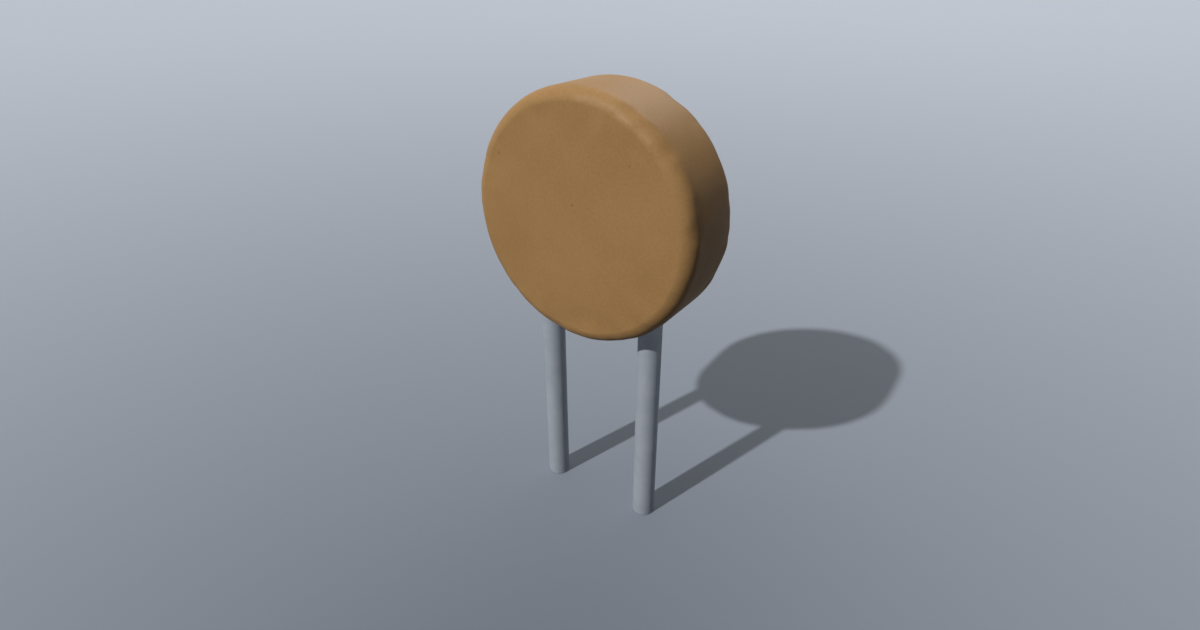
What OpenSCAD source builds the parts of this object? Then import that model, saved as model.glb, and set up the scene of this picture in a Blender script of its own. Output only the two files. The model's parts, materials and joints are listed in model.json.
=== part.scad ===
// Radial ceramic disc capacitor. A silvered ceramic disc carries one bent wire lead on each face, and a
// dip coating seals the disc, the solder and the bends. The origin is midway between the two lead tips,
// the leads stand along Z, and the front face looks towards -Y.

/* [Ceramic] */
// Diameter of the ceramic disc
ceramic_d = 3.8; // [3.4:0.1:5]
// Thickness of the ceramic disc
ceramic_t = 0.2; // [0.1:0.05:0.6]
// Height of the ceramic's centre above the centre of the coated body
ceramic_lift = 0.15; // [0.05:0.05:0.3]

/* [Electrodes] */
// Thickness of the fired silver on each face
electrode_t = 0.04; // [0.02:0.01:0.08]
// Width of the bare ring of ceramic around each electrode
electrode_margin = 0.1; // [0.05:0.05:0.25]

/* [Leads] */
// Diameter of the tinned wire
lead_d = 0.5; // [0.4:0.05:0.7]
// Distance between the axes of the two leads
lead_pitch = 2.5; // [2:0.1:2.7]
// Length of each lead below the lowest point of the body
lead_free = 4.6; // [3:0.05:30]
// Height of the first bend above the lowest point of the body
bend_rise = 0.1; // [0.05:0.05:0.2]
// Length of each lead past the middle of the ceramic
lead_reach = 0.6; // [0.4:0.05:0.8]

/* [Solder] */
// Thickness of the film of solder between a wire and its electrode
solder_film = 0.04; // [0.02:0.01:0.08]
// Width of a solder joint where it meets the electrode
solder_w = 0.9; // [0.7:0.05:1]
// Height of a solder joint above the electrode
solder_h = 0.35; // [0.25:0.05:0.4]
// Length of a solder joint along its lead
solder_len = 1.6; // [1.2:0.1:1.7]
// Length of solder past the end of a lead
solder_past = 0.2; // [0.05:0.05:0.3]

/* [Coating] */
// Thickness of coating over the outer side of each lead
face_cover = 0.18; // [0.06:0.02:0.4]
// Mean thickness of coating around the rim of the ceramic
rim_cover = 0.6; // [0.5:0.05:1]
// Radius of the rounded edges of the body
edge_r = 0.25; // [0.05:0.05:0.5]
// Radius of the hollow curve where the coating draws down onto each lead
collar_r = 0.08; // [0.06:0.01:0.2]
// Thickness of the coating at the thin end of that curve
collar_lip = 0.03; // [0.03:0.01:0.08]

/* [Hidden] */
$fn = 96;

// The body takes its size from what it covers
lead_r = lead_d / 2;
lead_x = lead_pitch / 2;
electrode_face = ceramic_t / 2 + electrode_t;
lead_offset = electrode_face + solder_film + lead_r;
body_t = 2 * (lead_offset + lead_r + face_cover);
body_r = ceramic_d / 2 + rim_cover;
body_z = lead_free + body_r;
ceramic_z = body_z + ceramic_lift;
electrode_r = ceramic_d / 2 - electrode_margin;

// Each lead steps from the middle plane onto its electrode by two equal arcs. At this slope, that of a
// 3-4-5 triangle, the ends of the arcs fall on short decimals, so the pieces of wire always meet.
bend_slope = 4 / 3;
bend_angle = atan(bend_slope);
bend_r = lead_offset / (2 * (1 - cos(bend_angle)));
bend_start = lead_free + bend_rise;
bend_end = bend_start + 2 * bend_r * sin(bend_angle);
lead_top = ceramic_z + lead_reach;

// A solder joint is a round loaf sunk into its electrode up to its width
loaf_r = (pow(solder_w / 2, 2) + pow(solder_h, 2)) / (2 * solder_h);
loaf_y = electrode_face + solder_h - loaf_r;
loaf_top = lead_top + solder_past - solder_w / 2;
loaf_bottom = lead_top + solder_past - solder_len + solder_w / 2;

// The collars lean with the rim, so a lead cuts each one in an ellipse
collar_lean = asin(lead_x / body_r);
collar_end_r = lead_r / cos(collar_lean) + collar_lip;
collar_base_r = collar_end_r + collar_r;
collar_base = sqrt(pow(body_r, 2) - pow(collar_base_r, 2));

// Turns a piece of the rear face round to the front face
module on_front() {
    rotate([0, 0, 180])
        children();
}

// A round plate on the axis of the ceramic, from one depth to another towards the rear
module upright_plate(r, front, rear) {
    translate([0, front, ceramic_z])
        rotate([-90, 0, 0])
            cylinder(h = rear - front, r = r);
}

// One arc of wire, from the foot of the curve and bending towards the rear
module wire_arc() {
    rotate([90, 0, -90])
        rotate_extrude(angle = bend_angle)
            translate([bend_r, 0])
                circle(r = lead_r);
}

module lead_wire() {
    translate([lead_x, 0, 0]) {
        cylinder(h = bend_start, r = lead_r);
        translate([0, bend_r, bend_start])
            wire_arc();
        translate([0, lead_offset - bend_r, bend_end])
            rotate([180, 0, 0])
                wire_arc();
        translate([0, lead_offset, bend_end])
            cylinder(h = lead_top - bend_end, r = lead_r);
    }
}

module ceramic_plate() {
    upright_plate(ceramic_d / 2, -ceramic_t / 2, ceramic_t / 2);
}

module electrode_film() {
    upright_plate(electrode_r, ceramic_t / 2, electrode_face);
}

module solder_loaf() {
    translate([lead_x, loaf_y, loaf_bottom]) {
        cylinder(h = loaf_top - loaf_bottom, r = loaf_r);
        sphere(r = loaf_r);
        translate([0, 0, loaf_top - loaf_bottom])
            sphere(r = loaf_r);
    }
}

// Solder wets only the silver, so it ends at the electrode's outline
module wetted_loaf(foot) {
    intersection() {
        solder_loaf();
        upright_plate(electrode_r, foot, body_t / 2);
    }
}

module solder_joint() {
    difference() {
        wetted_loaf(electrode_face);
        lead_wire();
    }
}

module lead_and_solder() {
    lead_wire();
    wetted_loaf(0);
}

// The space that the ceramic, silver, solder and leads fill together
module sealed_core() {
    ceramic_plate();
    upright_plate(electrode_r, -electrode_face, electrode_face);
    lead_and_solder();
    on_front()
        lead_and_solder();
}

module body_profile() {
    translate([0, edge_r])
        square([body_r, body_t - 2 * edge_r]);
    square([body_r - edge_r, body_t]);
    for (y = [edge_r, body_t - edge_r])
        translate([body_r - edge_r, y])
            circle(r = edge_r);
}

module body_blank() {
    translate([0, -body_t / 2, body_z])
        rotate([-90, 0, 0])
            rotate_extrude()
                body_profile();
}

module collar_profile() {
    difference() {
        square([collar_base_r, collar_base + collar_r]);
        translate([collar_base_r, collar_base + collar_r])
            circle(r = collar_r);
    }
}

module lead_collar() {
    translate([0, 0, body_z])
        rotate([0, 180 - collar_lean, 0])
            rotate_extrude()
                collar_profile();
}

module ceramic_disc() {
    color("#D8CDB4")
        ceramic_plate();
}

module rear_electrode() {
    color("#C9C8C4")
        electrode_film();
}

module front_electrode() {
    color("#C9C8C4")
        on_front()
            electrode_film();
}

module rear_solder() {
    color("#A9ABAE")
        solder_joint();
}

module front_solder() {
    color("#A9ABAE")
        on_front()
            solder_joint();
}

module right_lead() {
    color("#949BA3")
        lead_wire();
}

module left_lead() {
    color("#949BA3")
        on_front()
            lead_wire();
}

module coating() {
    color("#93734D")
        difference() {
            union() {
                body_blank();
                lead_collar();
                on_front()
                    lead_collar();
            }
            sealed_core();
        }
}

coating();
ceramic_disc();
front_electrode();
rear_electrode();
front_solder();
rear_solder();
left_lead();
right_lead();
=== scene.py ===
# %% [markdown]
# # A ceramic disc capacitor
# This is one of the smallest parts on a circuit board: a thin disc of ceramic with silver on both faces,
# a wire soldered to each face, and a tan dip coating that seals it all. The exact solids come from the CAD
# frame. Here each visible piece gets a finer mesh of the same form and a finish of its own, and a small
# studio is set up around it. The frame is loaded first, and its box is kept so that the finished pieces
# can be measured against it at the end. Blender works in metres and the real part is measured in
# millimetres, so every size below is a number of millimetres times MM.

# %% Load the frame
import json
from math import atan2, cos, exp, pi, radians, sin

import bmesh
import bpy
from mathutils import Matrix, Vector

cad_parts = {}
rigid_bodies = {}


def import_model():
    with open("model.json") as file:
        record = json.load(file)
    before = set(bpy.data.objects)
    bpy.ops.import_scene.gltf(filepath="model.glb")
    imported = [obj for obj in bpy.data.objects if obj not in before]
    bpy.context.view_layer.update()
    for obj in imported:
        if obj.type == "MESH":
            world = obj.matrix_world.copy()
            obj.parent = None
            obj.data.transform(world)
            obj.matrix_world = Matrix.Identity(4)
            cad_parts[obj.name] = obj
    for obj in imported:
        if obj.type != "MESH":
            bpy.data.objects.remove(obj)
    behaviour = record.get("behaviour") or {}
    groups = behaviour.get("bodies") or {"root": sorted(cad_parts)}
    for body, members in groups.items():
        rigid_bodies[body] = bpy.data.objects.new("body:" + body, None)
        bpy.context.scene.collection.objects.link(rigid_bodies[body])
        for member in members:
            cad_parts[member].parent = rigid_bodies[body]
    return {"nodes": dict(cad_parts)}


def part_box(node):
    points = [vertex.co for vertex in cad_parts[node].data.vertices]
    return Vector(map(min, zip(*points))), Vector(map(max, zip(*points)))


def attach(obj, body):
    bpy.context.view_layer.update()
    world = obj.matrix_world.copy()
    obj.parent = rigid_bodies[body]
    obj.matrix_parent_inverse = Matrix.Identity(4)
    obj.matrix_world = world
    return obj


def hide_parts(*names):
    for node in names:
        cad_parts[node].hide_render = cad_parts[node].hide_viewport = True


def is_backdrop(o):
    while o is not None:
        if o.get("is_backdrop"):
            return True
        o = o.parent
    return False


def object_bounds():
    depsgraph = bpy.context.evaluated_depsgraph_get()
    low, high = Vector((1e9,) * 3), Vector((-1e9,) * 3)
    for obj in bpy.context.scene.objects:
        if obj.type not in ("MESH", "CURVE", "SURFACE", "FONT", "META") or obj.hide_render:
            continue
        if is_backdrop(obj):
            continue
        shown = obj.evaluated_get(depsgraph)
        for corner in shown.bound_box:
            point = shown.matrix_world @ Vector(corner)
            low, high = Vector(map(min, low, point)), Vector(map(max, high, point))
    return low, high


MM = 0.001

for leftover in list(bpy.data.objects):
    bpy.data.objects.remove(leftover)
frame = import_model()
cad_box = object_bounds()
cad_size = [round(v / MM, 3) for v in cad_box[1] - cad_box[0]]
print("frame:", len(frame["nodes"]), "solids, box", cad_size, "mm")

# %% [markdown]
# ## Sizes
# The big sizes are read back from the frame, so they can't drift away from the CAD: the coated body from
# its box, and the wire from the box of one lead. The frame's meshes have flat facets, so the round body
# comes out a little lower than it is wide. Its radius is taken from the height, which is the smaller of the
# two, so that the finer body made here stays inside the CAD box.

# %% Read the sizes
coat_low, coat_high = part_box("coating")
body_r = (coat_high.z - coat_low.z) / 2
body_t = coat_high.y - coat_low.y
body_z = (coat_high.z + coat_low.z) / 2

wire_low, wire_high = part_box("right_lead")
lead_r = (wire_high.x - wire_low.x) / 2
lead_x = (wire_high.x + wire_low.x) / 2
lead_top = wire_high.z
lead_step = wire_high.y - lead_r

for label, size in (("body radius", body_r), ("body thickness", body_t), ("wire radius", lead_r),
                    ("half pitch", lead_x), ("step of the bend", lead_step)):
    print(f"{label}: {size / MM:.3f} mm")

# %% [markdown]
# ## Helpers for colours and nodes
# Colours are easiest to pick as the sRGB hex codes that a paint program shows, but Blender's sockets take
# linear light, so one function turns one into the other. The second function adds a node to any tree, sets
# its properties, and fills each input with a number or links it to another node's output. Every material
# and every geometry tree below is written with it. The third starts a material. A Mix node has one set of
# sockets for each kind of value, all with the same names, so its colour sockets are picked by number. The
# numbers get names here.

# %% Helpers for colours and nodes
SHARE, FIRST, SECOND, MIXED = 0, 6, 7, 2


def from_hex(code):
    """Gives the linear RGBA of an sRGB hex colour."""
    channels = [int(code[i:i + 2], 16) / 255 for i in (1, 3, 5)]
    linear = [c / 12.92 if c <= 0.04045 else ((c + 0.055) / 1.055) ** 2.4 for c in channels]
    return (*linear, 1.0)


def add_node(tree, kind, inputs=(), **settings):
    """Adds a node with its settings, and fills or links its inputs; a list links several outputs to one."""
    node = tree.nodes.new(kind)
    for name, value in settings.items():
        setattr(node, name, value)
    for key, value in dict(inputs).items():
        for item in value if isinstance(value, list) else [value]:
            if isinstance(item, bpy.types.NodeSocket):
                tree.links.new(item, node.inputs[key])
            else:
                node.inputs[key].default_value = item
    return node


def open_material(name):
    """Starts a material with an empty node tree."""
    material = bpy.data.materials.new(name)
    material.use_nodes = True
    material.node_tree.nodes.clear()
    return material


print("sRGB #808080 is", [round(c, 3) for c in from_hex("#808080")[:3]], "in linear light")

# %% [markdown]
# ## The coating's finish
# The disc is dipped in thick phenolic resin, drained, baked, and sealed with wax. That gives the eye an even
# tan that is satin rather than glossy, faintly cloudy where the dip ran thicker, with a fine grain of
# mineral filler and a few pinholes where bubbles left it while it baked. One flat colour would look like
# toy plastic. Instead a wide noise shifts the tan a little, a fine noise breaks it up, and the same patterns
# feed the bump, so that light and colour agree about where the grains are. Most values of a noise lie near
# its middle, so Map Range stretches that part. The real grain is about 0.01 mm, which is finer than a pixel
# here, so it is drawn five times as coarse.

# %% Waxed phenolic dip: clouds and grain
CLOUD = 1.3 * MM
GRAIN = 0.05 * MM
GRAIN_STRENGTH = 0.3
THICK_TAN = "#957146"
THIN_TAN = "#9B774B"
FILLER_TAN = "#AD8B5E"

coat_finish = open_material("waxed_phenolic_dip")
tree = coat_finish.node_tree
place = add_node(tree, "ShaderNodeTexCoord").outputs["Object"]
cloud = add_node(tree, "ShaderNodeTexNoise", {"Vector": place, "Scale": 1 / CLOUD, "Detail": 3.0})
grain = add_node(tree, "ShaderNodeTexNoise", {"Vector": place, "Scale": 1 / GRAIN, "Detail": 2.0})
cloudy = add_node(
    tree, "ShaderNodeMapRange", {"Value": cloud.outputs["Fac"], "From Min": 0.35, "From Max": 0.65})
tan_dip = add_node(
    tree, "ShaderNodeMix",
    {SHARE: cloudy.outputs["Result"], FIRST: from_hex(THICK_TAN), SECOND: from_hex(THIN_TAN)},
    data_type="RGBA")
grainy = add_node(
    tree, "ShaderNodeMapRange",
    {"Value": grain.outputs["Fac"], "From Min": 0.3, "From Max": 0.75,
     "To Min": 0.0, "To Max": GRAIN_STRENGTH})
speckled = add_node(
    tree, "ShaderNodeMix",
    {SHARE: grainy.outputs["Result"], FIRST: tan_dip.outputs[MIXED], SECOND: from_hex(FILLER_TAN)},
    data_type="RGBA")
print(f"clouds of {CLOUD / MM:.2f} mm and grains of {GRAIN / MM:.2f} mm")

# %% [markdown]
# Pinholes come from a Voronoi pattern: each cell has one point, and the distance to it is a round spot. A
# cell's random colour decides whether it has a pinhole at all, so that they are scattered, not a grid. Each
# pinhole is painted a darker brown, which is painted shade inside its pit. A third noise, between the clouds
# and the grains in size, is the faint peel that a draining dip keeps. Its depth sets the bump, and the
# heights of the grains and pinholes are shares of it.

# %% Waxed phenolic dip: pinholes, gloss and bump
PINHOLE_SPACING = 0.42 * MM
PINHOLE_R = 0.02 * MM
CLOSED_CELLS = 0.6
PINHOLE_PAINTED_SHADE = "#7B5D3A"
PEEL = 0.3 * MM
PEEL_DEPTH = 0.0035 * MM
GRAIN_HEIGHT = 0.12
PINHOLE_HEIGHT = -0.9

spot_size = PINHOLE_R / PINHOLE_SPACING
cells = add_node(tree, "ShaderNodeTexVoronoi", {"Vector": place, "Scale": 1 / PINHOLE_SPACING})
hole = add_node(
    tree, "ShaderNodeMapRange",
    {"Value": cells.outputs["Distance"], "From Min": 0.5 * spot_size, "From Max": 1.5 * spot_size,
     "To Min": 1.0, "To Max": 0.0})
chance = add_node(tree, "ShaderNodeSeparateColor", {"Color": cells.outputs["Color"]})
chosen = add_node(
    tree, "ShaderNodeMath", {0: chance.outputs["Red"], 1: CLOSED_CELLS}, operation="GREATER_THAN")
pinhole = add_node(
    tree, "ShaderNodeMath", {0: hole.outputs["Result"], 1: chosen.outputs[0]}, operation="MULTIPLY")
# Painted shade: each pinhole's pit is coloured a darker brown, beside its shallow dent in the bump.
pit_shaded = add_node(
    tree, "ShaderNodeMix",
    {SHARE: pinhole.outputs[0], FIRST: speckled.outputs[MIXED], SECOND: from_hex(PINHOLE_PAINTED_SHADE)},
    data_type="RGBA")
gloss = add_node(
    tree, "ShaderNodeMapRange", {"Value": cloud.outputs["Fac"], "To Min": 0.44, "To Max": 0.56})
peel = add_node(tree, "ShaderNodeTexNoise", {"Vector": place, "Scale": 1 / PEEL, "Detail": 2.0})
grain_height = add_node(
    tree, "ShaderNodeMath", {0: grain.outputs["Fac"], 1: GRAIN_HEIGHT, 2: peel.outputs["Fac"]},
    operation="MULTIPLY_ADD")
height = add_node(
    tree, "ShaderNodeMath", {0: pinhole.outputs[0], 1: PINHOLE_HEIGHT, 2: grain_height.outputs[0]},
    operation="MULTIPLY_ADD")
uneven = add_node(tree, "ShaderNodeBump", {"Distance": PEEL_DEPTH, "Height": height.outputs[0]})
surface = add_node(
    tree, "ShaderNodeBsdfPrincipled",
    {"Base Color": pit_shaded.outputs[MIXED], "Roughness": gloss.outputs["Result"], "IOR": 1.5,
     "Specular IOR Level": 0.13, "Normal": uneven.outputs["Normal"]})
add_node(tree, "ShaderNodeOutputMaterial", {"Surface": surface.outputs["BSDF"]})
print(coat_finish.name, "has", len(tree.nodes), "nodes")

# %% [markdown]
# ## The leads' finish
# The leads are copper wire, drawn through a die and tinned. Tin is a pale, slightly blue metal, and handling
# soon covers it with a film of oxide that scatters the light. So the eye sees a satin grey with fine draw
# lines along the wire and softer, duller patches, and the shader is only partly metallic. A noise that is
# stretched along Z makes the draw lines. Real ones are a few micrometres wide and are drawn ten times as
# coarse. The cutter leaves bare copper on the end of each lead, which the material shows where the mesh is
# at the floor.

# %% Drawn tinned copper wire
LINE_WIDTH = 0.03 * MM
LINE_LENGTH = 2.0 * MM
LINE_DEPTH = 0.0008 * MM
DULL_PATCH = 0.45 * MM
CUT_FACE = 0.002 * MM
CLEAN_TIN = "#B5BAC1"
DULL_TIN = "#A8AEB6"
BARE_COPPER = "#C98A63"

wire_finish = open_material("drawn_tinned_copper")
tree = wire_finish.node_tree
place = add_node(tree, "ShaderNodeTexCoord").outputs["Object"]
stretched = add_node(
    tree, "ShaderNodeMapping", {"Vector": place, "Scale": (1 / LINE_WIDTH, 1 / LINE_WIDTH, 1 / LINE_LENGTH)})
lines = add_node(
    tree, "ShaderNodeTexNoise", {"Vector": stretched.outputs["Vector"], "Scale": 1.0, "Detail": 3.0})
dull = add_node(tree, "ShaderNodeTexNoise", {"Vector": place, "Scale": 1 / DULL_PATCH, "Detail": 4.0})
dullness = add_node(
    tree, "ShaderNodeMapRange", {"Value": dull.outputs["Fac"], "From Min": 0.3, "From Max": 0.7})
tin = add_node(
    tree, "ShaderNodeMix",
    {SHARE: dullness.outputs["Result"], FIRST: from_hex(CLEAN_TIN), SECOND: from_hex(DULL_TIN)},
    data_type="RGBA")
height_z = add_node(tree, "ShaderNodeSeparateXYZ", {"Vector": place})
cut = add_node(tree, "ShaderNodeMath", {0: height_z.outputs["Z"], 1: CUT_FACE}, operation="LESS_THAN")
bare = add_node(
    tree, "ShaderNodeMix",
    {SHARE: cut.outputs[0], FIRST: tin.outputs[MIXED], SECOND: from_hex(BARE_COPPER)}, data_type="RGBA")
satin = add_node(tree, "ShaderNodeMapRange", {"Value": dull.outputs["Fac"], "To Min": 0.4, "To Max": 0.48})
drawn = add_node(tree, "ShaderNodeBump", {"Distance": LINE_DEPTH, "Height": lines.outputs["Fac"]})
surface = add_node(
    tree, "ShaderNodeBsdfPrincipled",
    {"Base Color": bare.outputs[MIXED], "Metallic": 0.36, "Roughness": satin.outputs["Result"],
     "Specular IOR Level": 0.1, "Normal": drawn.outputs["Normal"]})
add_node(tree, "ShaderNodeOutputMaterial", {"Surface": surface.outputs["BSDF"]})
print(wire_finish.name, "has", len(tree.nodes), "nodes")

# %% [markdown]
# ## Finishes under the coating
# Nobody sees the ceramic, the silver or the solder on a finished part, but the model can be taken apart, so
# they get finishes of their own. Fired ceramic is a matte cream with a fine grain. Silver paste is screen
# printed and fired, which leaves a pale metal with a slightly porous skin. Solder cools into a smooth,
# greyer metal with a faint crystal pattern, which a Voronoi pattern gives.

# %% Fired ceramic
CERAMIC_GRAIN = 0.06 * MM
CERAMIC_DEPTH = 0.001 * MM

ceramic_finish = open_material("fired_ceramic")
tree = ceramic_finish.node_tree
place = add_node(tree, "ShaderNodeTexCoord").outputs["Object"]
fired = add_node(tree, "ShaderNodeTexNoise", {"Vector": place, "Scale": 1 / CERAMIC_GRAIN, "Detail": 3.0})
cream = add_node(
    tree, "ShaderNodeMix",
    {SHARE: fired.outputs["Fac"], FIRST: from_hex("#CDC1A6"), SECOND: from_hex("#E2D8C1")}, data_type="RGBA")
grit = add_node(tree, "ShaderNodeBump", {"Distance": CERAMIC_DEPTH, "Height": fired.outputs["Fac"]})
surface = add_node(
    tree, "ShaderNodeBsdfPrincipled",
    {"Base Color": cream.outputs[MIXED], "Roughness": 0.75, "IOR": 2.0, "Normal": grit.outputs["Normal"]})
add_node(tree, "ShaderNodeOutputMaterial", {"Surface": surface.outputs["BSDF"]})
print(ceramic_finish.name, "has", len(tree.nodes), "nodes")

# %% Fired silver
SILVER_GRAIN = 0.05 * MM
SILVER_DEPTH = 0.001 * MM

silver_finish = open_material("fired_silver")
tree = silver_finish.node_tree
place = add_node(tree, "ShaderNodeTexCoord").outputs["Object"]
porous = add_node(tree, "ShaderNodeTexNoise", {"Vector": place, "Scale": 1 / SILVER_GRAIN, "Detail": 4.0})
silver = add_node(
    tree, "ShaderNodeMix",
    {SHARE: porous.outputs["Fac"], FIRST: from_hex("#BDBBB5"), SECOND: from_hex("#DAD8D1")},
    data_type="RGBA")
skin = add_node(tree, "ShaderNodeBump", {"Distance": SILVER_DEPTH, "Height": porous.outputs["Fac"]})
surface = add_node(
    tree, "ShaderNodeBsdfPrincipled",
    {"Base Color": silver.outputs[MIXED], "Metallic": 1.0, "Roughness": 0.45,
     "Normal": skin.outputs["Normal"]})
add_node(tree, "ShaderNodeOutputMaterial", {"Surface": surface.outputs["BSDF"]})
print(silver_finish.name, "has", len(tree.nodes), "nodes")

# %% Cooled solder
SOLDER_CRYSTAL = 0.12 * MM
SOLDER_DEPTH = 0.001 * MM

solder_finish = open_material("cooled_solder")
tree = solder_finish.node_tree
place = add_node(tree, "ShaderNodeTexCoord").outputs["Object"]
crystals = add_node(tree, "ShaderNodeTexVoronoi", {"Vector": place, "Scale": 1 / SOLDER_CRYSTAL})
shade = add_node(tree, "ShaderNodeSeparateColor", {"Color": crystals.outputs["Color"]})
grey = add_node(
    tree, "ShaderNodeMix",
    {SHARE: shade.outputs["Red"], FIRST: from_hex("#A2A5A9"), SECOND: from_hex("#B4B6B8")}, data_type="RGBA")
facets = add_node(
    tree, "ShaderNodeBump", {"Distance": SOLDER_DEPTH, "Height": crystals.outputs["Distance"]})
surface = add_node(
    tree, "ShaderNodeBsdfPrincipled",
    {"Base Color": grey.outputs[MIXED], "Metallic": 1.0, "Roughness": 0.36,
     "Normal": facets.outputs["Normal"]})
add_node(tree, "ShaderNodeOutputMaterial", {"Surface": surface.outputs["BSDF"]})
print(solder_finish.name, "has", len(tree.nodes), "nodes")

# %% Finish the sealed pieces
inner_finishes = {
    "ceramic_disc": ceramic_finish,
    "front_electrode": silver_finish,
    "rear_electrode": silver_finish,
    "front_solder": solder_finish,
    "rear_solder": solder_finish,
}
for node_name, finish in inner_finishes.items():
    frame["nodes"][node_name].material_slots[0].material = finish
    print(node_name, "is", finish.name)

# %% [markdown]
# ## Running a node tree
# Both visible kinds of piece follow a rule: a wire follows a path, and the coated body is a half outline
# turned round an axis. Geometry Nodes are made for that. These functions start a tree with named inputs and
# run a finished tree on a starting mesh. The result is kept as a plain mesh, because the export takes
# meshes and no modifiers. The last function closes a mesh: it merges points that lie closer than WELD, and
# shades every edge smooth that turns by less than SHARP_ANGLE.

# %% Helpers for geometry trees
WELD = 0.0001 * MM
SHARP_ANGLE = radians(35)


def open_tree(name, sockets):
    """Starts a geometry tree with named inputs and one mesh output."""
    tree = bpy.data.node_groups.new(name, "GeometryNodeTree")
    for label, kind in sockets.items():
        tree.interface.new_socket(label, in_out="INPUT", socket_type="NodeSocket" + kind)
    tree.interface.new_socket("Mesh", in_out="OUTPUT", socket_type="NodeSocketGeometry")
    return tree


def run_modifiers(piece):
    """Replaces an object's mesh by what its modifiers make of it, and removes them."""
    evaluated = piece.evaluated_get(bpy.context.evaluated_depsgraph_get())
    mesh = bpy.data.meshes.new_from_object(evaluated)
    piece.modifiers.clear()
    piece.data = mesh


def grow(name, tree, sizes, start):
    """Makes a piece by running a geometry tree with these sizes on a starting mesh."""
    piece = bpy.data.objects.new(name, start)
    bpy.context.scene.collection.objects.link(piece)
    modifier = piece.modifiers.new(tree.name, "NODES")
    modifier.node_group = tree
    for socket in tree.interface.items_tree:
        if socket.name in sizes:
            modifier[socket.identifier] = sizes[socket.name]
    run_modifiers(piece)
    return piece


def close_mesh(piece):
    """Merges doubled points, turns every face outwards, and smooths all but the sharp edges."""
    work = bmesh.new()
    work.from_mesh(piece.data)
    bmesh.ops.remove_doubles(work, verts=work.verts, dist=WELD)
    bmesh.ops.recalc_face_normals(work, faces=work.faces)
    open_edges = sum(not edge.is_manifold for edge in work.edges)
    volume = work.calc_volume() / MM ** 3
    work.to_mesh(piece.data)
    work.free()
    piece.data.shade_smooth()
    piece.data.set_sharp_from_angle(angle=SHARP_ANGLE)
    print(f"{piece.name}: {len(piece.data.polygons)} faces, {open_edges} open edges, {volume:.3f} mm3")


# %% [markdown]
# ## The leads
# Each lead stands straight, and steps sideways inside the coating onto its face of the ceramic. The step is
# two equal arcs, so the second one is the first one turned round by half a turn, and each turns by the
# steep angle of a 3-4-5 triangle, as in the CAD. It starts just inside the coating, so that the wire looks
# straight from outside. The path of a lead could be a curve drawn by hand, but here it is a chain of points
# that carries a number called taper, which narrows the wire over its last hundredths of a millimetre, where
# the cutter rounded it.

# %% The path of a lead
ARC_STEPS = 14
CUT_EDGE = 0.02 * MM
BEND_COVER = 0.1 * MM

bend_angle = atan2(4, 3)
lead_entry = body_z - (body_r ** 2 - lead_x ** 2) ** 0.5
bend_start = lead_entry + BEND_COVER
bend_r = lead_step / (2 * (1 - cos(bend_angle)))
bend_end = bend_start + 2 * bend_r * sin(bend_angle)
turns = [bend_angle * i / ARC_STEPS for i in range(ARC_STEPS + 1)]
leaving = [(bend_r * (1 - cos(t)), bend_start + bend_r * sin(t)) for t in turns]
arriving = [(lead_step - y, bend_start + bend_end - z) for y, z in reversed(leaving)]
foot = [(0.0, 0.0), (0.0, CUT_EDGE)]
tip = [(lead_step, lead_top - CUT_EDGE), (lead_step, lead_top)]
route = [*foot, *leaving, *arriving[1:], *tip]


def lead_path(name, side):
    """The route of one lead as a chain of points; side is 1 for the right lead and -1 for the left."""
    path = bpy.data.meshes.new(name)
    points = [(side * lead_x, side * y, z) for y, z in route]
    path.from_pydata(points, [(i, i + 1) for i in range(len(points) - 1)], [])
    taper = path.attributes.new("taper", "FLOAT", "POINT")
    worn = 1 - CUT_EDGE / lead_r
    taper.data.foreach_set("value", [worn, *[1.0] * (len(points) - 2), worn])
    return path


print(f"bend radius {bend_r / MM:.4f} mm, from {bend_start / MM:.3f} to {bend_end / MM:.3f} mm")

# %% [markdown]
# The tree turns such a path into a curve and sweeps a circle along it, scaled by the taper, with a cap on
# each end. One tree serves both leads.

# %% Sweep the wires
WIRE_SIDES = 64

wire_tree = open_tree(
    "wire_on_a_path",
    {"Path": "Geometry", "Wire radius": "Float", "Sides": "Int", "Finish": "Material"})
given = add_node(wire_tree, "NodeGroupInput").outputs
curve = add_node(wire_tree, "GeometryNodeMeshToCurve", {"Mesh": given["Path"]})
section = add_node(
    wire_tree, "GeometryNodeCurvePrimitiveCircle",
    {"Resolution": given["Sides"], "Radius": given["Wire radius"]})
taper = add_node(wire_tree, "GeometryNodeInputNamedAttribute", {"Name": "taper"}, data_type="FLOAT")
swept = add_node(
    wire_tree, "GeometryNodeCurveToMesh",
    {"Curve": curve.outputs["Curve"], "Profile Curve": section.outputs["Curve"],
     "Scale": taper.outputs["Attribute"], "Fill Caps": True})
whole = add_node(wire_tree, "GeometryNodeRealizeInstances", {"Geometry": swept.outputs["Mesh"]})
finished = add_node(
    wire_tree, "GeometryNodeSetMaterial",
    {"Geometry": whole.outputs["Geometry"], "Material": given["Finish"]})
add_node(wire_tree, "NodeGroupOutput", {"Mesh": finished.outputs["Geometry"]})

wire_sizes = {"Wire radius": lead_r, "Sides": WIRE_SIDES, "Finish": wire_finish}
wires = {}
for side, node_name in ((1, "right_lead"), (-1, "left_lead")):
    wire = grow(node_name + "_wire", wire_tree, wire_sizes, lead_path(node_name + "_path", side))
    close_mesh(wire)
    wires[node_name] = wire

# %% [markdown]
# ## The coated body
# A lathe would make this form: half of the outline, turned round the disc's axis. The tree draws a quarter
# of the outline, which is the flat face, the rounded edge and half of the rim, mirrors it, and sweeps it
# round a circle. The circle runs through the border of the flat face, so the outline's points are measured
# from there. A dipped disc shows a fine line round each face, where the resin drew back from the edge. So
# the rounding doesn't leave the face smoothly: it starts with a turn of a few degrees, the crease. Its
# radius and depth follow from its width and that turn.

# %% Work out the outline
EDGE_WIDTH = 0.25 * MM
CREASE = radians(8)

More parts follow.
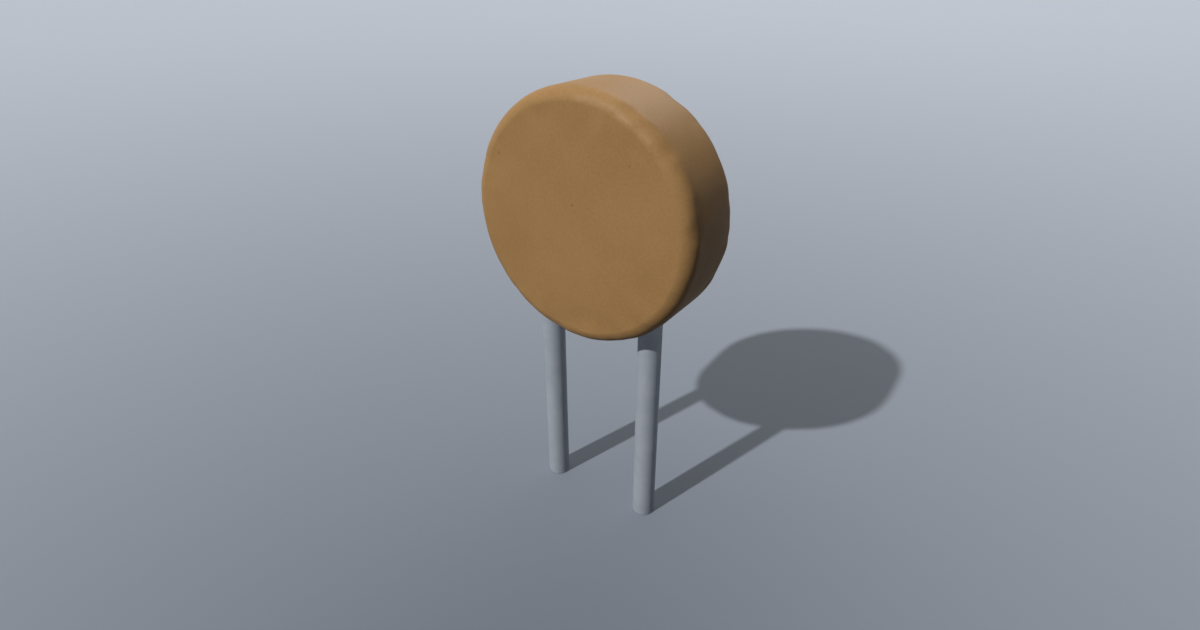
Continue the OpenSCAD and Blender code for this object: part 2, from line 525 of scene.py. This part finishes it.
edge_r = EDGE_WIDTH / (1 - sin(CREASE))
edge_depth = edge_r * cos(CREASE)
body_tree = open_tree(
    "dipped_body",
    {"Radius": "Float", "Thickness": "Float", "Edge width": "Float", "Edge depth": "Float",
     "Edge radius": "Float", "Crease": "Float", "Lip": "Float", "Height": "Float", "Segments": "Int",
     "Half pitch": "Float", "Wire radius": "Float", "Collar width": "Float", "Collar drop": "Float",
     "Unevenness": "Float", "Ripple": "Float", "Seed": "Float", "Finish": "Material"})
given = add_node(body_tree, "NodeGroupInput").outputs
edge = given["Edge width"]
flat_r = add_node(
    body_tree, "ShaderNodeMath", {0: given["Radius"], 1: edge}, operation="SUBTRACT").outputs[0]
half_t = add_node(
    body_tree, "ShaderNodeMath", {0: given["Thickness"], 1: 0.5}, operation="MULTIPLY").outputs[0]
rim_half = add_node(
    body_tree, "ShaderNodeMath", {0: half_t, 1: given["Edge depth"]}, operation="SUBTRACT").outputs[0]
to_axis = add_node(body_tree, "ShaderNodeMath", {0: flat_r, 1: -1.0}, operation="MULTIPLY").outputs[0]
to_lip = add_node(body_tree, "ShaderNodeMath", {0: given["Lip"], 1: -1.0}, operation="MULTIPLY").outputs[0]
inset = add_node(
    body_tree, "ShaderNodeMath", {0: edge, 1: given["Edge radius"]}, operation="SUBTRACT").outputs[0]
arc_start = add_node(
    body_tree, "ShaderNodeMath", {0: pi / 2, 1: given["Crease"]}, operation="SUBTRACT").outputs[0]
arc_sweep = add_node(
    body_tree, "ShaderNodeMath", {0: arc_start, 1: -1.0}, operation="MULTIPLY").outputs[0]
print(f"edge radius {edge_r / MM:.3f} mm, depth {edge_depth / MM:.3f} mm")

# %% [markdown]
# Smooth shading blends the two sides of the crease across the faces that meet there. A narrow ring of faces
# just inside it, the lip, keeps that blend from spreading over the flat face.

# %% Draw a quarter of the outline
FACE_STEPS = 18
EDGE_STEPS = 12
RIM_STEPS = 22

face_middle = add_node(body_tree, "ShaderNodeCombineXYZ", {"X": to_axis, "Y": half_t})
face_lip = add_node(body_tree, "ShaderNodeCombineXYZ", {"X": to_lip, "Y": half_t})
face_border = add_node(body_tree, "ShaderNodeCombineXYZ", {"Y": half_t})
rim_border = add_node(body_tree, "ShaderNodeCombineXYZ", {"X": edge, "Y": rim_half})
rim_middle = add_node(body_tree, "ShaderNodeCombineXYZ", {"X": edge})
edge_centre = add_node(body_tree, "ShaderNodeCombineXYZ", {"X": inset, "Y": rim_half})

face_line = add_node(
    body_tree, "GeometryNodeCurvePrimitiveLine",
    {"Start": face_middle.outputs[0], "End": face_lip.outputs[0]})
lip_line = add_node(
    body_tree, "GeometryNodeCurvePrimitiveLine",
    {"Start": face_lip.outputs[0], "End": face_border.outputs[0]})
rim_line = add_node(
    body_tree, "GeometryNodeCurvePrimitiveLine",
    {"Start": rim_border.outputs[0], "End": rim_middle.outputs[0]})
edge_arc = add_node(
    body_tree, "GeometryNodeCurveArc",
    {"Resolution": EDGE_STEPS, "Radius": given["Edge radius"], "Start Angle": arc_start,
     "Sweep Angle": arc_sweep})
face_steps = add_node(
    body_tree, "GeometryNodeResampleCurve", {"Curve": face_line.outputs[0], "Count": FACE_STEPS})
rim_steps = add_node(
    body_tree, "GeometryNodeResampleCurve", {"Curve": rim_line.outputs[0], "Count": RIM_STEPS})
edge_placed = add_node(
    body_tree, "GeometryNodeTransform",
    {"Geometry": edge_arc.outputs[0], "Translation": edge_centre.outputs[0]})
quarter = add_node(
    body_tree, "GeometryNodeJoinGeometry",
    {"Geometry": [face_steps.outputs[0], lip_line.outputs[0], edge_placed.outputs[0], rim_steps.outputs[0]]})
print("a quarter outline of", FACE_STEPS, "face,", EDGE_STEPS, "edge and", RIM_STEPS, "rim points")

# %% [markdown]
# The mirrored quarter is reversed, so that the whole outline runs one way. Swept in that direction its faces
# look inwards, so they are flipped, and the disc is then stood upright at its height.

# %% Mirror the outline and turn it
mirrored = add_node(
    body_tree, "GeometryNodeTransform", {"Geometry": quarter.outputs[0], "Scale": (1.0, -1.0, 1.0)})
onward = add_node(body_tree, "GeometryNodeReverseCurve", {"Curve": mirrored.outputs[0]})
outline = add_node(
    body_tree, "GeometryNodeJoinGeometry", {"Geometry": [quarter.outputs[0], onward.outputs[0]]})
circle = add_node(
    body_tree, "GeometryNodeCurvePrimitiveCircle", {"Resolution": given["Segments"], "Radius": flat_r})
turned = add_node(
    body_tree, "GeometryNodeCurveToMesh", {"Curve": circle.outputs[0], "Profile Curve": outline.outputs[0]})
welded = add_node(
    body_tree, "GeometryNodeMergeByDistance", {"Geometry": turned.outputs[0], "Distance": WELD})
outside = add_node(body_tree, "GeometryNodeFlipFaces", {"Mesh": welded.outputs[0]})
axis_height = add_node(body_tree, "ShaderNodeCombineXYZ", {"Z": given["Height"]})
upright = add_node(
    body_tree, "GeometryNodeTransform",
    {"Geometry": outside.outputs[0], "Translation": axis_height.outputs[0], "Rotation": (pi / 2, 0.0, 0.0)})
print(f"turned round a circle of {(body_r - EDGE_WIDTH) / MM:.3f} mm")

# %% [markdown]
# Wet resin runs a little way down each wire before it sets, and leaves a small collar. It could be a ring
# set against the rim, but a real one has no seam. So the rim itself is pulled down near each wire: a point
# beside the wire moves the full drop, and the pull dies away as a square over the width of the collar.

# %% Pull the collars down
spot = add_node(body_tree, "GeometryNodeInputPosition")
axes = add_node(body_tree, "ShaderNodeSeparateXYZ", {"Vector": spot.outputs[0]})
sideways = add_node(body_tree, "ShaderNodeMath", {0: axes.outputs["X"]}, operation="ABSOLUTE")
from_wire = add_node(
    body_tree, "ShaderNodeMath", {0: sideways.outputs[0], 1: given["Half pitch"]}, operation="SUBTRACT")
across = add_node(body_tree, "ShaderNodeCombineXYZ", {"X": from_wire.outputs[0], "Y": axes.outputs["Y"]})
distance = add_node(body_tree, "ShaderNodeVectorMath", {0: across.outputs[0]}, operation="LENGTH")
reach = add_node(
    body_tree, "ShaderNodeMath", {0: given["Wire radius"], 1: given["Collar width"]}, operation="ADD")
pull = add_node(
    body_tree, "ShaderNodeMapRange",
    {"Value": distance.outputs["Value"], "From Min": given["Wire radius"], "From Max": reach.outputs[0],
     "To Min": 1.0, "To Max": 0.0})
eased = add_node(body_tree, "ShaderNodeMath", {0: pull.outputs[0], 1: 2.0}, operation="POWER")
drop = add_node(
    body_tree, "ShaderNodeMath", {0: eased.outputs[0], 1: given["Collar drop"]}, operation="MULTIPLY")
down = add_node(
    body_tree, "ShaderNodeVectorMath", {0: (0.0, 0.0, -1.0), "Scale": drop.outputs[0]}, operation="SCALE")
low_side = add_node(
    body_tree, "FunctionNodeCompare", {"A": axes.outputs["Z"], "B": given["Height"]},
    data_type="FLOAT", operation="LESS_THAN")
collared = add_node(
    body_tree, "GeometryNodeSetPosition",
    {"Geometry": upright.outputs[0], "Selection": low_side.outputs[0], "Offset": down.outputs[0]})
print(body_tree.name, "has", len(body_tree.nodes), "nodes up to the collars")

# %% [markdown]
# A dipped part is never as true as a turned one: along its two edges the resin drew back by uneven amounts,
# and the edges are slightly wavy. A noise pulls the skin inwards along its normals, and two weights hold the
# wave to the edges: one grows from the disc's axis out to the rim, and one from the middle of the rim to the
# faces. The skin never moves outwards, so the wave can't push the body out of the CAD box. The seed fixes
# which dip this is.

# %% Let the edges run uneven
OUTWARD_POWER = 4.0
FACEWARD_POWER = 2.0

skin = add_node(body_tree, "GeometryNodeInputPosition")
waves = add_node(body_tree, "ShaderNodeMath", {0: 1.0, 1: given["Ripple"]}, operation="DIVIDE")
ripple = add_node(
    body_tree, "ShaderNodeTexNoise",
    {"Vector": skin.outputs[0], "W": given["Seed"], "Scale": waves.outputs[0], "Detail": 1.0},
    noise_dimensions="4D")
swing = add_node(
    body_tree, "ShaderNodeMapRange",
    {"Value": ripple.outputs["Fac"], "From Min": 0.25, "From Max": 0.6, "To Min": -1.0, "To Max": 0.0},
    interpolation_type="SMOOTHSTEP")
on_axis = add_node(
    body_tree, "ShaderNodeVectorMath", {0: skin.outputs[0], 1: (1.0, 0.0, 1.0)}, operation="MULTIPLY")
off_axis = add_node(
    body_tree, "ShaderNodeVectorMath", {0: on_axis.outputs[0], 1: axis_height.outputs[0]},
    operation="DISTANCE")
outward = add_node(
    body_tree, "ShaderNodeMath", {0: off_axis.outputs["Value"], 1: given["Radius"]}, operation="DIVIDE")
edgeward = add_node(
    body_tree, "ShaderNodeMath", {0: outward.outputs[0], 1: OUTWARD_POWER}, operation="POWER")
depth = add_node(body_tree, "ShaderNodeSeparateXYZ", {"Vector": skin.outputs[0]})
faceward = add_node(body_tree, "ShaderNodeMath", {0: depth.outputs["Y"], 1: half_t}, operation="DIVIDE")
off_rim = add_node(
    body_tree, "ShaderNodeMath", {0: faceward.outputs[0], 1: FACEWARD_POWER}, operation="POWER")
share = add_node(
    body_tree, "ShaderNodeMath", {0: edgeward.outputs[0], 1: off_rim.outputs[0]}, operation="MULTIPLY")
sag = add_node(body_tree, "ShaderNodeMath", {0: share.outputs[0], 1: swing.outputs[0]}, operation="MULTIPLY")
swell = add_node(
    body_tree, "ShaderNodeMath", {0: sag.outputs[0], 1: given["Unevenness"]}, operation="MULTIPLY")
facing = add_node(body_tree, "GeometryNodeInputNormal")
moved = add_node(
    body_tree, "ShaderNodeVectorMath", {0: facing.outputs[0], "Scale": swell.outputs[0]}, operation="SCALE")
dipped = add_node(
    body_tree, "GeometryNodeSetPosition", {"Geometry": collared.outputs[0], "Offset": moved.outputs[0]})
whole = add_node(body_tree, "GeometryNodeRealizeInstances", {"Geometry": dipped.outputs[0]})
finished = add_node(
    body_tree, "GeometryNodeSetMaterial", {"Geometry": whole.outputs[0], "Material": given["Finish"]})
add_node(body_tree, "NodeGroupOutput", {"Mesh": finished.outputs[0]})
print(body_tree.name, "has", len(body_tree.nodes), "nodes in all")

# %% [markdown]
# The sizes go in last. The big ones come from the frame. The lip, the collars and the wave are small sizes
# that no box shows, so they are given here. The circle has enough segments to look round from close up.

# %% Grow the body
body_sizes = {
    "Radius": body_r, "Thickness": body_t, "Edge width": EDGE_WIDTH, "Edge depth": edge_depth,
    "Edge radius": edge_r, "Crease": CREASE, "Lip": 0.02 * MM, "Height": body_z, "Segments": 640,
    "Half pitch": lead_x, "Wire radius": lead_r, "Collar width": 0.17 * MM, "Collar drop": 0.07 * MM,
    "Unevenness": 0.05 * MM, "Ripple": 0.7 * MM, "Seed": 2.5, "Finish": coat_finish,
}
body = grow("dip_coating", body_tree, body_sizes, bpy.data.meshes.new("nothing"))
close_mesh(body)

# %% [markdown]
# ## Room for what it seals
# The coating is a skin over the other pieces, not a solid lump, so the wires and the sealed pieces are cut
# out of it. A Boolean modifier does that. The wires are cut as they are. The sealed CAD pieces are round
# plates and loaves without hollows, apart from the groove that the wire fills, so the hull of each one's
# points is the clean closed shape to cut with.

# %% Cut the wires and the sealed pieces out
def hull_of(node_name):
    """A closed copy of a CAD piece: the hull of its points."""
    work = bmesh.new()
    for point in frame["nodes"][node_name].data.vertices:
        work.verts.new(point.co)
    bmesh.ops.remove_doubles(work, verts=work.verts, dist=WELD)
    bmesh.ops.convex_hull(work, input=work.verts)
    unused = [point for point in work.verts if not point.link_faces]
    bmesh.ops.delete(work, geom=unused, context="VERTS")
    bmesh.ops.recalc_face_normals(work, faces=work.faces)
    mesh = bpy.data.meshes.new(node_name + "_hull")
    work.to_mesh(mesh)
    work.free()
    hull = bpy.data.objects.new(mesh.name, mesh)
    bpy.context.scene.collection.objects.link(hull)
    return hull


hulls = [hull_of(node_name) for node_name in inner_finishes]
for cutter in [*wires.values(), *hulls]:
    cut_out = body.modifiers.new(cutter.name, "BOOLEAN")
    cut_out.object = cutter
    cut_out.operation = "DIFFERENCE"
    cut_out.solver = "MANIFOLD"
run_modifiers(body)
for hull in hulls:
    bpy.data.objects.remove(hull)
close_mesh(body)

# %% [markdown]
# ## Hand the pieces over
# Each new piece rides on the part's one body and stands for the CAD solid it refines, which is hidden.

# %% Fasten the pieces to the frame
for piece, node_name, slot in ((body, "coating", "coating"),
                               (wires["left_lead"], "left_lead", "tinned_wire"),
                               (wires["right_lead"], "right_lead", "tinned_wire")):
    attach(piece, "root")
    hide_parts(node_name)
    print(piece.name, "stands for", node_name)

# %% [markdown]
# ## The studio
# The part stands on its cut leads on a cool grey sheet, as in a plain product picture. The sheet is far
# larger than the part, and its pale grey meets the pale wall at the horizon, so no backdrop is needed. Just
# in front of the part the sheet is painted darker, a pool of painted shade that fades out with distance. The
# point that the fade is measured from lies under the sheet, so that the fade has no peak. Light Path lets
# the sheet send back less light than it shows, as if the part stood on a darker card: that keeps the
# underside of the disc dark, without making the picture dark.

# %% Floor
FLOOR_HALF = 3.0
FLOOR_GAP = 0.001 * MM
PAINTED_SHADE_CENTRE = (3 * MM, -7 * MM, -3 * MM)
FADE = 30 * MM
FADE_POWER = 0.8
PAINTED_SHADE_GREY = "#4F5560"
FAR_GREY = "#ADB3BC"
BOUNCE = 0.28

corners = ((-1, -1), (1, -1), (1, 1), (-1, 1))
floor_mesh = bpy.data.meshes.new("floor")
floor_mesh.from_pydata(
    [(x * FLOOR_HALF, y * FLOOR_HALF, -FLOOR_GAP) for x, y in corners], [], [(0, 1, 2, 3)])
floor = bpy.data.objects.new("floor", floor_mesh)
bpy.context.scene.collection.objects.link(floor)
floor_finish = open_material("matte_grey_sheet")
tree = floor_finish.node_tree
place = add_node(tree, "ShaderNodeTexCoord").outputs["Object"]
# Painted shade: the sheet is coloured darkest near the part and fades to its pale grey further away.
away = add_node(tree, "ShaderNodeVectorMath", {0: place, 1: PAINTED_SHADE_CENTRE}, operation="DISTANCE")
far = add_node(tree, "ShaderNodeMath", {0: away.outputs["Value"], 1: FADE}, operation="DIVIDE")
spread = add_node(tree, "ShaderNodeMath", {0: far.outputs[0], 1: FADE_POWER}, operation="POWER")
painted_shade_share = add_node(tree, "ShaderNodeMath", {0: exp(-1), 1: spread.outputs[0]}, operation="POWER")
sheet = add_node(
    tree, "ShaderNodeMix",
    {SHARE: painted_shade_share.outputs[0], FIRST: from_hex(FAR_GREY), SECOND: from_hex(PAINTED_SHADE_GREY)}, data_type="RGBA")
path = add_node(tree, "ShaderNodeLightPath").outputs
sent = add_node(
    tree, "ShaderNodeMapRange", {"Value": path["Is Diffuse Ray"], "To Min": 1.0, "To Max": BOUNCE})
shown = add_node(
    tree, "ShaderNodeVectorMath", {0: sheet.outputs[MIXED], "Scale": sent.outputs[0]}, operation="SCALE")
surface = add_node(
    tree, "ShaderNodeBsdfPrincipled",
    {"Base Color": shown.outputs[0], "Roughness": 0.8, "Specular IOR Level": 0.15})
add_node(tree, "ShaderNodeOutputMaterial", {"Surface": surface.outputs["BSDF"]})
floor_mesh.materials.append(floor_finish)
floor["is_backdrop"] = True
print(f"{floor_finish.name}: {2 * FLOOR_HALF:.0f} m wide, sends back {BOUNCE:.0%} of its light")

# %% [markdown]
# Three lamps light the part. The key lamp is high on the front left: it models the disc, and lays its shadow
# to the back right. A wide dim lamp overhead fills in from above. A rear lamp puts a pale sheen on the top
# of the rim and lights the back. It casts no shadow, because a second one would smear the sheet in front of
# the leads. Sun lamps light the whole floor evenly, however small the part is. Their angle is how wide they
# look from the part, so it sets how soft the shadows are. At level 1, a white card square to the lamp
# renders white.

# %% Lamps
def soft_lamp(name, direction, angle, level, shadow=True):
    """A lamp in this direction from the part, this wide as seen from it, at this level on it."""
    lamp = bpy.data.lights.new(name, "SUN")
    lamp.angle = angle
    lamp.energy = level * pi
    lamp.use_shadow = shadow
    holder = bpy.data.objects.new(name, lamp)
    holder.rotation_euler = Vector(direction).to_track_quat("Z", "Y").to_euler()
    bpy.context.scene.collection.objects.link(holder)
    print(f"{name}: level {level}")


soft_lamp("key_lamp", direction=(-0.213, -0.722, 0.659), angle=radians(1.5), level=1.03)
soft_lamp("overhead_lamp", direction=(-0.25, 0.1, 0.96), angle=radians(60), level=0.24)
soft_lamp("rear_lamp", direction=(-0.12, 0.72, 0.68), angle=radians(36), level=0.32, shadow=False)

# %% [markdown]
# The world fills the shadows. The camera, and the gloss on metal, see it as a pale wall, while the light
# it gives is dimmer, so that the shadow side of the part stays dark. Light Path tells the two apart.

# %% World
PALE_WALL = "#DDE2EA"
WALL_LIGHT = 0.04
WALL_SEEN = 0.72

world = bpy.data.worlds.new("pale_room")
world.use_nodes = True
tree = world.node_tree
tree.nodes.clear()
path = add_node(tree, "ShaderNodeLightPath").outputs
seen_or_mirrored = add_node(
    tree, "ShaderNodeMath", {0: path["Is Camera Ray"], 1: path["Is Glossy Ray"]}, operation="MAXIMUM")
seen = add_node(
    tree, "ShaderNodeMath", {0: seen_or_mirrored.outputs[0], 1: path["Is Transmission Ray"]},
    operation="MAXIMUM")
level = add_node(
    tree, "ShaderNodeMapRange", {"Value": seen.outputs[0], "To Min": WALL_LIGHT, "To Max": WALL_SEEN})
room = add_node(tree, "ShaderNodeBackground", {"Color": from_hex(PALE_WALL), "Strength": level.outputs[0]})
add_node(tree, "ShaderNodeOutputWorld", {"Surface": room.outputs[0]})
bpy.context.scene.world = world
bpy.context.scene.view_settings.view_transform = "Standard"
print(f"{world.name}: seen at {WALL_SEEN}, lights at {WALL_LIGHT}")

# %% [markdown]
# ## The camera
# The view is close and wide, from the front right and above. Its place, angle and lens were found by fitting
# the outline of the disc and the edges of the leads to the photograph.

# %% Camera
CAMERA_AT = (7.128 * MM, -10.309 * MM, 11.541 * MM)
TURN = radians(34.635)
TILT = radians(28.244)
SENSOR_WIDTH = 36.0
LENS = 20.06
NEAREST = 0.1 * MM
FARTHEST = 10.0

view = bpy.data.cameras.new("camera")
view.sensor_width = SENSOR_WIDTH
view.lens = LENS
view.clip_start = NEAREST
view.clip_end = FARTHEST
camera = bpy.data.objects.new("camera", view)
camera.location = CAMERA_AT
camera.rotation_euler = (pi / 2 - TILT, 0.0, TURN)
bpy.context.scene.collection.objects.link(camera)
bpy.context.scene.camera = camera
print(f"camera {Vector(CAMERA_AT).length / MM:.1f} mm from the part's foot, lens {LENS} mm")

# %% [markdown]
# ## Measure and finish
# The finished pieces must fill the same box as the CAD solids. Both boxes are written down to compare.

# %% Compare the boxes
visual_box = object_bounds()
for label, (low, high) in (("CAD", cad_box), ("visual", visual_box)):
    print(label, "box:", [round(v / MM, 4) for v in low], "to", [round(v / MM, 4) for v in high], "mm")
